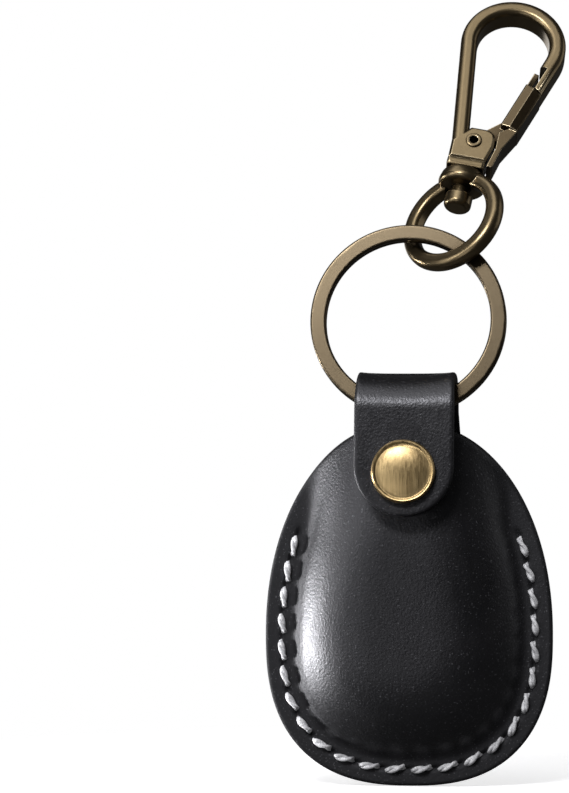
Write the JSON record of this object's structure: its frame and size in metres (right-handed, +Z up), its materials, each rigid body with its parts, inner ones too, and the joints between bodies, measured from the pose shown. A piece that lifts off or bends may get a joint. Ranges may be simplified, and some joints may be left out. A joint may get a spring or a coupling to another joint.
{
  "type": "tracker tag holder",
  "caption": "Moulded leather holder for a round tracker tag with a snap strap on a flat split ring and a swivel snap hook.",
  "frame": {"origin": "centre of the hook's bow, on the hook's middle plane", "axes": "+Z up as it hangs, the front of the holder faces -Y, +X to the right seen from the front"},
  "size_m": [0.0468, 0.0404, 0.1261],
  "materials": {
    "antique_brass": "antique, satin",
    "snap_brass": "brushed",
    "spring_steel": "drawn wire",
    "black_leather": "fine grain, satin",
    "waxed_thread": "waxed, twisted"
  },
  "bodies": {
    "hook": {"hook_body": "antique_brass", "gate_pin": "antique_brass", "gate_spring": "spring_steel", "swivel_post": "antique_brass"},
    "gate": {"gate": "antique_brass"},
    "eye": {"swivel_eye": "antique_brass"},
    "ring": {"key_ring": "antique_brass"},
    "case": {"back_panel": "black_leather", "front_panel": "black_leather", "needle_thread": "waxed_thread", "bobbin_thread": "waxed_thread", "snap_stud": "snap_brass", "snap_stud_post": "snap_brass"},
    "flap": {"strap_tongue": "black_leather", "snap_cap": "snap_brass", "snap_socket": "snap_brass", "snap_socket_spring": "spring_steel"}
  },
  "joints": [
    {"name": "gate_swing", "type": "hinge", "parent": "hook", "child": "gate", "pos_m": [-0.00591, -0.01, -0.01652], "axis": [0.0911, -0.866, 0.4916], "range_deg": [0, 26], "stiffness_Nm_per_rad": 0.05, "springref_deg": -11.46},
    {"name": "eye_swivel", "type": "hinge", "parent": "hook", "child": "eye", "pos_m": [-0.00766, -0.014, -0.02324], "axis": [0.1578, 0.5, 0.8515], "continuous": true},
    {"name": "ring_turn", "type": "hinge", "parent": "eye", "child": "ring", "pos_m": [-0.01551, -0.02157, -0.04442], "axis": [0, -0.9744, 0.225], "range_deg": [-60, 60]},
    {"name": "case_swing", "type": "hinge", "parent": "ring", "child": "case", "pos_m": [-0.01551, -0.02491, -0.05887], "axis": [1, 0, 0], "range_deg": [-45, 45]},
    {"name": "flap_lift", "type": "hinge", "parent": "case", "child": "flap", "pos_m": [-0.01551, -0.03124, -0.05797], "axis": [-1, 0, 0], "range_deg": [0, 100]}
  ]
}
